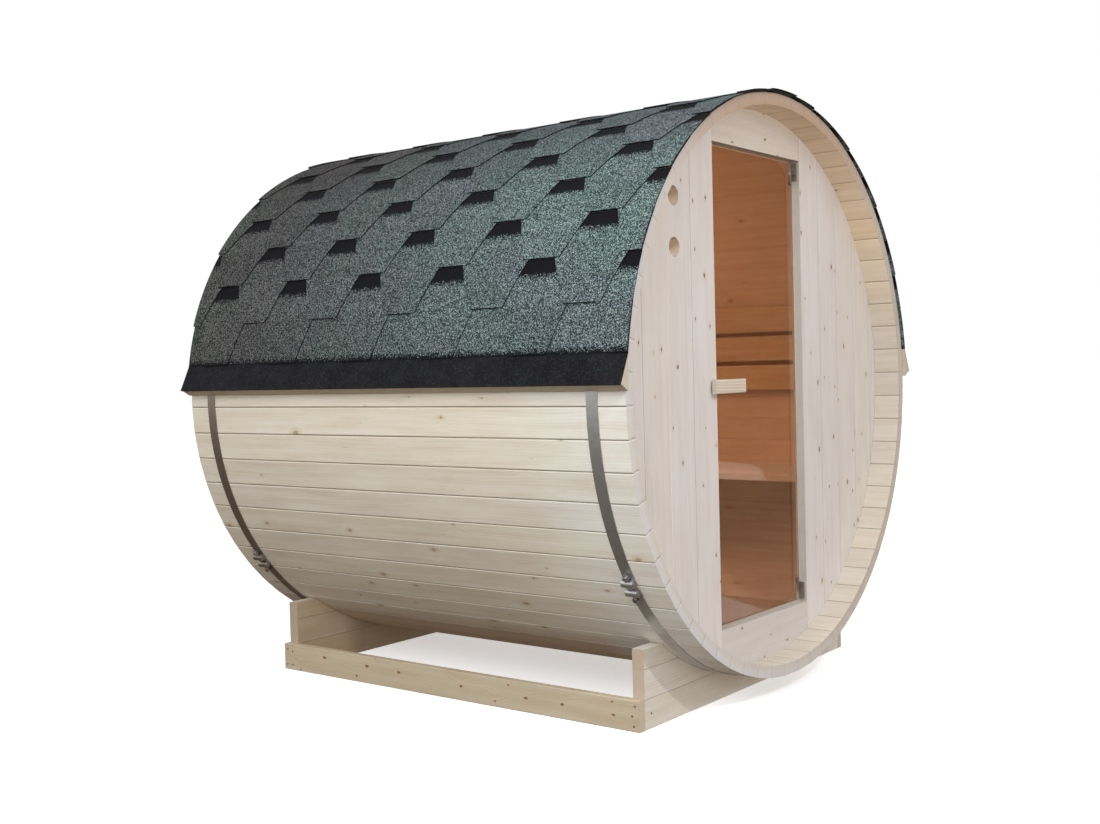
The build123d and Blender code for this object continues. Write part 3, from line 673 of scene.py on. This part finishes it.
FINISHES = {
    "front_wall_left": wall_wood, "front_vent_board": vent_wood, "front_wall_right": wall_wood,
    "front_wall_header": header_wood, "front_wall_sill": sill_wood, "rear_wall": rear_wood,
    "door_glass": door_glass, "door_handle": handle_wood,
    "door_hinge_clamps": hinge_steel, "jamb_hinge_leaves": hinge_steel,
    "floor_boards": floor_wood, "floor_bearers": cleat_wood, "bench_boards": bench_wood,
    "bench_cleats": cleat_wood, "backrest_boards": backrest_wood, "backrest_battens": cleat_wood,
    "front_band": front_band_steel, "rear_band": rear_band_steel,
    "front_tensioner": zinc_steel, "rear_tensioner": zinc_steel,
    "front_cradle": cradle_wood, "rear_cradle": rear_cradle_wood,
    "left_eave_wedge": wedge_wood, "right_eave_wedge": wedge_wood,
    "left_eave_strip": eave_felt, "right_eave_strip": eave_felt,
    "left_shingles": shingle_granules, "right_shingles": shingle_granules,
    "ridge_course": shingle_granules,
    "left_stringer": stringer_wood, "right_stringer": stringer_wood,
}
for name, node in nodes.items():
    node.data.materials.clear()
    node.data.materials.append(FINISHES.get(name, stave_wood))


# Pieces gathered from simple meshes
class Builder:
    """Vertices and faces of one piece, with a material number for each face."""

    def __init__(self):
        self.points = []
        self.faces = []
        self.finishes = []
        self.values = {}

    def add(self, points, faces, finish=0, **values):
        first = len(self.points)
        self.points += [tuple(point) for point in points]
        self.faces += [tuple(first + index for index in face) for face in faces]
        self.finishes += [finish] * len(faces)
        for key, numbers in values.items():
            self.values.setdefault(key, []).extend(numbers)

    def slab(self, top, bottom, rows, columns, **values):
        """A closed sheet between two grids of points, given row by row, with the second finish at its rim."""
        count = rows * columns

        def at(row, column):
            return row * columns + column

        upper, lower, rim = [], [], []
        for row in range(rows - 1):
            for column in range(columns - 1):
                a, b = at(row, column), at(row, column + 1)
                c, d = at(row + 1, column + 1), at(row + 1, column)
                upper.append((a, b, c, d))
                lower.append((d + count, c + count, b + count, a + count))
        ring = [at(0, column) for column in range(columns - 1)]
        ring += [at(row, columns - 1) for row in range(rows - 1)]
        ring += [at(rows - 1, column) for column in range(columns - 1, 0, -1)]
        ring += [at(row, 0) for row in range(rows - 1, 0, -1)]
        for here, there in zip(ring, ring[1:] + ring[:1]):
            rim.append((there, here, here + count, there + count))
        doubled = {key: list(numbers) * 2 for key, numbers in values.items()}
        self.add(list(top) + list(bottom), upper + lower, **doubled)
        shift = len(self.points) - 2 * count
        self.faces += [tuple(shift + index for index in face) for face in rim]
        self.finishes += [1] * len(rim)

    def lathe(self, place, profile, sides):
        """A closed solid turned about the place's Z, from (radius, height) pairs, low to high."""
        points, faces = [], []
        for radius, height in profile:
            for side in range(sides):
                turn = 2 * math.pi * side / sides
                points.append(place @ Vector((radius * math.cos(turn), radius * math.sin(turn), height)))
        for level in range(len(profile) - 1):
            for side in range(sides):
                here, there = level * sides + side, level * sides + (side + 1) % sides
                faces.append((here, there, there + sides, here + sides))
        faces.append(tuple(reversed(range(sides))))
        faces.append(tuple(range(len(points) - sides, len(points))))
        self.add(points, faces)

    def make(self, name, materials, body="cabin", replaced=(), smooth=30.0):
        mesh = bpy.data.meshes.new(name)
        mesh.from_pydata(self.points, [], self.faces)
        for key, numbers in self.values.items():
            mesh.attributes.new(key, "FLOAT", "POINT").data.foreach_set("value", numbers)
        for material in materials:
            mesh.materials.append(material)
        mesh.polygons.foreach_set("material_index", self.finishes)
        mesh.shade_smooth()
        mesh.set_sharp_from_angle(angle=math.radians(smooth))
        piece = bpy.data.objects.new(name, mesh)
        bpy.context.scene.collection.objects.link(piece)
        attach(piece, body)
        if replaced:
            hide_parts(*replaced)
        return piece


# Shingle strips with tapered tabs, each course lapped by the next
TAB_PERIOD = 0.353
TAB_FOOT = 0.135
TAB_SHIFT = 0.002
TAB_LIFT = (-0.0003, 0.0007)
NARROWEST_TAB = 0.004
CUTOUT_TOP = 0.098
ODD_CUTOUT_Y = 0.100
BUTT_HEIGHT = 0.0088
LAP_DROP = 0.0036
SHEET_THICKNESS = 0.0033
LEAST_HEIGHT = 0.0002
FOOT_PRINT_SHARE = 1.71
STARTER_TONE = 0.5
TAB_ROWS = 5
TAB_COLUMNS = 4
STRIP_COLUMNS = 12


def roof_point(side, turn, y, height):
    reach = ROOF_INNER + height
    return (side * reach * math.cos(turn), y, AXIS_Z + reach * math.sin(turn))


def top_print(share):
    """Strips carry their shadow print near the top."""
    return share


def whole(share):
    return -HALF_ROOF, HALF_ROOF


def sheet(builder, side, start, outline, shares, columns, lift, tab, printed=top_print):
    """One stretch of a strip: outline gives its Y ends at a share of the way up the course."""
    low_share, high_share = shares
    top, bottom, rises = [], [], []
    for row in range(TAB_ROWS):
        share = low_share + (high_share - low_share) * row / (TAB_ROWS - 1)
        turn = min(start + share * COURSE_PITCH, math.pi / 2)
        left, right = outline(share)
        height = BUTT_HEIGHT - LAP_DROP * share + lift * max(0.0, 1 - 2 * share) ** 2
        for column in range(columns):
            y = left + (right - left) * column / (columns - 1)
            top.append(roof_point(side, turn, y, height))
            bottom.append(roof_point(side, turn, y, max(height - SHEET_THICKNESS, LEAST_HEIGHT)))
            rises.append(printed(share))
    if side > 0:
        top, bottom = flip_rows(top, columns), flip_rows(bottom, columns)
    builder.slab(top, bottom, TAB_ROWS, columns, rise=rises, tab=[tab] * len(rises))


def flip_rows(points, columns):
    """The same grid with each row reversed, so that its faces turn outwards."""
    rows = [points[first:first + columns] for first in range(0, len(points), columns)]
    return [point for row in rows for point in reversed(row)]


def clamp(y):
    return max(-HALF_ROOF, min(HALF_ROOF, y))


def foot_print(share):
    """The first course carries its shadow print at the foot."""
    return FOOT_PRINT_SHARE - share


def starter_print(share):
    return foot_print(share - 1.0)


def course(builder, side, number):
    start = COURSE_START + number * COURSE_PITCH
    room = (math.pi / 2 - start) / COURSE_PITCH
    cutout = ODD_CUTOUT_Y + (0 if number % 2 else TAB_PERIOD / 2)
    first = cutout + TAB_PERIOD / 2 - math.ceil(2 * HALF_ROOF / TAB_PERIOD) * TAB_PERIOD
    printed = top_print if number else foot_print
    for step in range(3 * math.ceil(HALF_ROOF / TAB_PERIOD)):
        middle = first + step * TAB_PERIOD + rng.uniform(-TAB_SHIFT, TAB_SHIFT)
        tone, lift = rng.random(), rng.uniform(*TAB_LIFT)

        def outline(share):
            half = (TAB_FOOT + (TAB_PERIOD - CUTOUT_TOP - TAB_FOOT) * share) / 2
            return clamp(middle - half), clamp(middle + half)

        left, right = outline(1.0)
        if right - left > NARROWEST_TAB:
            sheet(builder, side, start, outline, (0.0, 1.0), TAB_COLUMNS, lift, tone, printed)
    sheet(builder, side, start, whole, (1.0, min(2.0, room)), STRIP_COLUMNS, 0.0, rng.random())


def starter(builder, side):
    """The plain strip that shows through the first course's cutouts."""
    start = COURSE_START - COURSE_PITCH
    sheet(builder, side, start, whole, (1.0, 2.0), STRIP_COLUMNS, 0.0, STARTER_TONE, starter_print)


for side, label in ((-1, "left"), (1, "right")):
    shingles = Builder()
    starter(shingles, side)
    for number in range(COURSE_COUNT):
        course(shingles, side, number)
    shingles.make(
        f"{label}_shingle_tabs", [shingle_granules, shingle_edge],
        replaced=[f"{label}_shingles"],
    )

# Ridge caps, lapped from the back to the front
CAP_LENGTH = 0.300
CAP_STEP = 0.1595
CAP_HALF_TURN = math.radians(5.0)
CAP_THICKNESS = 0.0021
CAP_DROP = 0.0024
CAP_CLEARANCE = 0.0001
CAP_RISE = 0.5
CAP_ROWS = 3
CAP_COLUMNS = 7

caps = Builder()
for number in range(round(2 * HALF_ROOF / CAP_STEP)):
    near = -HALF_ROOF + number * CAP_STEP
    far = min(near + CAP_LENGTH, HALF_ROOF)
    top, bottom = [], []
    for y, drop in ((near, 0.0), ((near + far) / 2, CAP_DROP / 2), (far, CAP_DROP)):
        for column in range(CAP_COLUMNS):
            turn = math.pi / 2 + CAP_HALF_TURN * (1 - 2 * column / (CAP_COLUMNS - 1))
            reach = RIDGE_TOP - CAP_CLEARANCE - drop
            top.append(roof_point(1, turn, y, reach - ROOF_INNER))
            bottom.append(roof_point(1, turn, y, reach - ROOF_INNER - CAP_THICKNESS))
    tone = rng.random()
    count = len(top)
    caps.slab(top, bottom, CAP_ROWS, CAP_COLUMNS, rise=[CAP_RISE] * count, tab=[tone] * count)
caps.make("ridge_caps", [shingle_granules, shingle_edge], replaced=["ridge_course"])


def towards(place, direction):
    """Frame at a place whose Z runs in a direction."""
    return Matrix.Translation(place) @ Vector(direction).to_track_quat("Z", "Y").to_matrix().to_4x4()


# Nails in the stringers' ends and in the cradles' lowest boards: a row at each end of a stringer holds how
# far in from the end each nail is and its share of the height
NAIL_PROFILE = [(0.0036, -0.0004), (0.0036, 0.00032), (0.00252, 0.0008), (0.00036, 0.0008)]
NAIL_SIDES = 12
NAIL_SCATTER = 0.003
NAIL_ROWS = {
    -1: ((0.018, 0.18), (0.024, 0.5), (0.016, 0.82)),
    1: ((0.012, 0.2), (0.040, 0.2), (0.014, 0.8), (0.042, 0.72)),
}
CRADLE_NAIL_X = 0.625
nails = Builder()
for label, outward in (("left", -1), ("right", 1)):
    low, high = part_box(f"{label}_stringer")
    face = low.x if outward < 0 else high.x
    for end, row in NAIL_ROWS.items():
        for offset, share in row:
            y = end * (high.y - offset - rng.uniform(0.0, NAIL_SCATTER))
            z = low.z + (high.z - low.z) * share
            nails.lathe(towards((face, y, z), (outward, 0, 0)), NAIL_PROFILE, NAIL_SIDES)
for label in ("front", "rear"):
    low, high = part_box(f"{label}_cradle")
    for face, outward in ((low.y, -1), (high.y, 1)):
        for x in (-CRADLE_NAIL_X, CRADLE_NAIL_X):
            nails.lathe(towards((x, face, CRADLE_BOARD / 2), (0, outward, 0)), NAIL_PROFILE, NAIL_SIDES)
nails.make("base_nails", [nail_steel])

# Band tensioners: turned cross pins in the rolled eyes, and a threaded bolt with its head, nut and washers
TENSIONER_TURNS = {"front": math.radians(215.6), "rear": math.radians(218.8)}
EYE_REACH = 0.9623
EYE_SHIFT = 0.018
PIN_PROFILE = [
    (0.0060, -0.0230), (0.0088, -0.0226), (0.0101, -0.0212),
    (0.0101, 0.0212), (0.0088, 0.0226), (0.0060, 0.0230),
]
HEX_PROFILE = [(0.0078, 0.0), (0.0097, 0.0011), (0.0097, 0.0068), (0.0078, 0.0079)]
WASHER_PROFILE = [(0.0112, 0.0), (0.0112, 0.0018), (0.0104, 0.0021)]
BOLT_HALF = 0.0535
BOLT_CREST = 0.0049
BOLT_ROOT = 0.0042
BOLT_TIP = BOLT_ROOT * 0.8
THREAD_PITCH = 0.0018
NUT_OUTSET = 0.0455
HEAD_OUTSET = 0.0405
WASHER_SET_BACK = 0.0021
ROUND_SIDES = 24
THREAD_SIDES = 14
HEX_SIDES = 6
BOLT_SMOOTH = 40.0

thread = [(BOLT_TIP, -BOLT_HALF)]
while thread[-1][1] < BOLT_HALF - 1.5 * THREAD_PITCH:
    start = thread[-1][1]
    thread += [(BOLT_CREST, start + THREAD_PITCH / 2), (BOLT_ROOT, start + THREAD_PITCH)]
thread.append((BOLT_TIP, BOLT_HALF))
for label, turn in TENSIONER_TURNS.items():
    low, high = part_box(f"{label}_band")
    centre = Vector((EYE_REACH * math.cos(turn), (low.y + high.y) / 2, AXIS_Z + EYE_REACH * math.sin(turn)))
    run = Vector((math.sin(turn), 0.0, -math.cos(turn)))
    tensioner = Builder()
    for shift in (-EYE_SHIFT, EYE_SHIFT):
        tensioner.lathe(towards(centre + shift * run, (0, 1, 0)), PIN_PROFILE, ROUND_SIDES)
    tensioner.lathe(towards(centre, run), thread, THREAD_SIDES)
    for end, outset in ((-run, NUT_OUTSET), (run, HEAD_OUTSET)):
        tensioner.lathe(towards(centre + outset * end, end), HEX_PROFILE, HEX_SIDES)
        washer_place = centre + (outset - WASHER_SET_BACK) * end
        tensioner.lathe(towards(washer_place, end), WASHER_PROFILE, ROUND_SIDES)
    tensioner.make(
        f"{label}_tensioner_bolt", [zinc_steel],
        replaced=[f"{label}_tensioner"], smooth=BOLT_SMOOTH,
    )

# Screws in the hinge leaves, each with how far it is from the leaf's end and the thickness that it stands on
SCREW_PROFILE = [(0.0032, -0.0002), (0.0032, 0.0005), (0.0024, 0.0010), (0.0009, 0.0011), (0.0008, 0.0004)]
SCREW_SIDES = 14
SCREW_INSET = 0.010
BLOCK_THICKNESS = 0.0057
LEAF_THICKNESS = 0.0027
SCREW_ROW = ((0.0075, BLOCK_THICKNESS), (0.0215, BLOCK_THICKNESS), (0.0485, LEAF_THICKNESS))
screws = Builder()
low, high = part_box("jamb_hinge_leaves")
for corner, inward in ((low.z, 1), (high.z, -1)):
    for rise, thickness in SCREW_ROW:
        place = (high.x - thickness, low.y + SCREW_INSET, corner + inward * rise)
        screws.lathe(towards(place, (-1, 0, 0)), SCREW_PROFILE, SCREW_SIDES)
screws.make("hinge_screws", [zinc_steel])

# Camera, fitted to the photograph
CAMERA_PLACE = Vector((-3.8486, -2.9259, 1.0957))
CAMERA_YAW = math.radians(52.29)
CAMERA_PITCH = math.radians(-2.015)
CAMERA_ROLL = math.radians(-1.475)
PHOTO_WIDTH = 1100
PHOTO_HEIGHT = 824
FOCAL_PIXELS = 1293.8
SENSOR = 36.0

forward = Vector((
    math.sin(CAMERA_YAW) * math.cos(CAMERA_PITCH),
    math.cos(CAMERA_YAW) * math.cos(CAMERA_PITCH),
    math.sin(CAMERA_PITCH),
))
level = Vector((math.cos(CAMERA_YAW), -math.sin(CAMERA_YAW), 0.0))
rise = level.cross(forward)
right = math.cos(CAMERA_ROLL) * level + math.sin(CAMERA_ROLL) * rise
upward = math.cos(CAMERA_ROLL) * rise - math.sin(CAMERA_ROLL) * level
lens = bpy.data.cameras.new("camera")
lens.sensor_fit = "HORIZONTAL"
lens.sensor_width = SENSOR
lens.lens = SENSOR * FOCAL_PIXELS / PHOTO_WIDTH
camera = bpy.data.objects.new("camera", lens)
turn = Matrix((right, upward, -forward)).transposed().to_4x4()
camera.matrix_world = Matrix.Translation(CAMERA_PLACE) @ turn
bpy.context.scene.collection.objects.link(camera)
bpy.context.scene.camera = camera


# Pale floor, and cards that only the door's glass mirrors: a black one keeps the white room out of it, and
# two white ones stand where they make the seat and the floor as pale as they are in the photograph
FLOOR_REACH = 40.0
FLOOR_GREY = (0.9, 0.9, 0.9, 1.0)
FLOOR_ROUGHNESS = 0.9
FLOOR_GLOW = 0.50
CARD_DISTANCE = 1.0
SEAT_CARD_PIXELS = ((712, 460.6), (752, 464.5), (760, 468), (767.5, 480.6), (712, 478.6))
SEAT_CARD_GLOW = 0.62
FLOOR_CARD_PIXELS = ((716, 594), (775, 613), (716, 636))
FLOOR_CARD_GLOW = 0.95
FLAG_LEFT, FLAG_RIGHT = 2.6, 5.8
FLAG_NEAR, FLAG_FAR = -3.2, -2.2
FLAG_LOW, FLAG_HIGH = -0.2, 3.2
glass_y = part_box("door_glass")[0].y


def stage_piece(name, points, faces, hidden_from, **paint_inputs):
    """A plain piece of the stage, hidden from some kinds of rays."""
    mesh = bpy.data.meshes.new(name)
    mesh.from_pydata(points, [], faces)
    paint, graph = painted(name)
    graph.set(**paint_inputs)
    mesh.materials.append(paint)
    piece = bpy.data.objects.new(name, mesh)
    for rays in hidden_from:
        setattr(piece, "visible_" + rays, False)
    bpy.context.scene.collection.objects.link(piece)


def card(name, points, faces, glow):
    stage_piece(
        name, points, faces, ("camera", "diffuse", "shadow", "transmission"),
        Base_Color=BLACK, Roughness=1.0, Specular_IOR_Level=0.0, Emission_Color=WHITE, Emission_Strength=glow,
    )


def mirrored(pixel):
    """Place that the closed glass mirrors at a pixel of the photograph."""
    aside = (pixel[0] - PHOTO_WIDTH / 2) / FOCAL_PIXELS
    above = (PHOTO_HEIGHT / 2 - pixel[1]) / FOCAL_PIXELS
    ray = (forward + aside * right + above * upward).normalized()
    meeting = CAMERA_PLACE + ray * ((glass_y - CAMERA_PLACE.y) / ray.y)
    return meeting + CARD_DISTANCE * Vector((ray.x, -ray.y, ray.z))


floor_points = [(x * FLOOR_REACH, y * FLOOR_REACH, 0.0) for x, y in ((-1, -1), (1, -1), (1, 1), (-1, 1))]
stage_piece(
    "floor", floor_points, [(0, 1, 2, 3)], ("diffuse", "glossy"),
    Base_Color=FLOOR_GREY, Roughness=FLOOR_ROUGHNESS, Emission_Strength=FLOOR_GLOW,
)
flag_rows = ((FLAG_FAR, FLAG_LOW), (FLAG_NEAR, FLAG_LOW), (FLAG_NEAR, FLAG_HIGH))
flag_points = [(x, y, z) for y, z in flag_rows for x in (FLAG_LEFT, FLAG_RIGHT)]
card("flag", flag_points, [(0, 1, 3, 2), (2, 3, 5, 4)], 0.0)
card("seat_card", [mirrored(pixel) for pixel in SEAT_CARD_PIXELS], [(0, 1, 2, 3, 4)], SEAT_CARD_GLOW)
card("floor_card", [mirrored(pixel) for pixel in FLOOR_CARD_PIXELS], [(0, 1, 2)], FLOOR_CARD_GLOW)


# Soft studio light
def lamp(name, place, target, size, power, colour=(1.0, 1.0, 1.0), glossy=True):
    """A round lamp that shines at a target, out of the camera's sight and not seen through the glass."""
    light = bpy.data.lights.new(name, "AREA")
    light.shape = "DISK"
    light.size = size
    light.energy = power
    light.color = colour
    holder = bpy.data.objects.new(name, light)
    aim = Vector(target) - Vector(place)
    holder.matrix_world = Matrix.Translation(place) @ aim.to_track_quat("-Z", "Y").to_matrix().to_4x4()
    holder.visible_camera = False
    holder.visible_transmission = False
    holder.visible_glossy = glossy
    bpy.context.scene.collection.objects.link(holder)
    return holder


def gathered(name, members):
    group = bpy.data.collections.new(name)
    for member in members:
        group.objects.link(member)
    return group


GLOW_COLOUR = (1.0, 0.88, 0.74)
LOW_FILL_COLOUR = (1.0, 0.98, 0.92)
CROWN_STAVES = ("top_staves", "upper_left_staves", "upper_right_staves")
CROWN_COVER = ("left_shingle_tabs", "right_shingle_tabs", "ridge_caps")
LOWER_STAVES = ("left_staves", "lower_left_staves", "bottom_staves")

nodes["door_glass"].visible_shadow = False
key = lamp("key", place=(-1.9, -4.7, 4.5), target=(0.0, -0.9, 1.0), size=0.14, power=86.0)
lamp("front_fill", place=(-0.9, -3.7, 0.5), target=(0.0, -0.9, 0.8), size=2.0, power=8.0, glossy=False)
lamp("side_fill", place=(-4.7, -1.5, 3.7), target=(0.0, -0.2, 1.0), size=3.5, power=163.0)
lamp(
    "cabin_glow", place=(-0.25, 0.1, 1.78), target=(0.35, 0.0, 0.5), size=0.8, power=8.0,
    colour=GLOW_COLOUR, glossy=False,
)
low_fill = lamp(
    "low_fill", place=(-1.3, -1.0, 0.05), target=(-0.70, -0.85, 0.35), size=0.2, power=0.85,
    colour=LOW_FILL_COLOUR, glossy=False,
)

# The top of the barrel casts no shadow of the key lamp, and the low fill lights only the staves near it
crown_members = [nodes[name] for name in CROWN_STAVES] + [bpy.data.objects[name] for name in CROWN_COVER]
crown = gathered("crown", crown_members)
for member in crown.collection_objects:
    member.light_linking.link_state = "EXCLUDE"
key.light_linking.blocker_collection = crown
low_fill.light_linking.receiver_collection = gathered("lower_side", [nodes[name] for name in LOWER_STAVES])

# White all round for the camera, and for the light a sky over a dim, warm ground that is paler at the front
SKY = 0.92
ZENITH = 0.55
ZENITH_SPAN = (0.35, 1.0)
GROUND = 0.105
FRONT_GROUND = 0.62
FRONT_SPAN = (-0.3, -1.0)
HORIZON_SPAN = (-0.12, 0.12)
WARM_GROUND = (1.0, 0.78, 0.58, 1.0)
world = bpy.data.worlds.new("studio")
room = Graph(world, "Background")
aim = room.add("SeparateXYZ", {0: room.add("TexCoord", {}).outputs["Generated"]}).outputs
ground = room.span(aim[1], *FRONT_SPAN, GROUND, FRONT_GROUND)
sky = room.span(aim[2], *ZENITH_SPAN, SKY, ZENITH)
glow = room.span(aim[2], *HORIZON_SPAN, ground, sky)
seen = room.add("LightPath", {}).outputs["Is Camera Ray"]
white = room.math("MAXIMUM", seen, room.span(aim[2], *HORIZON_SPAN))
room.set(Color=room.mix(white, WARM_GROUND, WHITE), Strength=room.math("MAXIMUM", glow, seen))
bpy.context.scene.world = world
bpy.context.scene.view_settings.view_transform = "Standard"
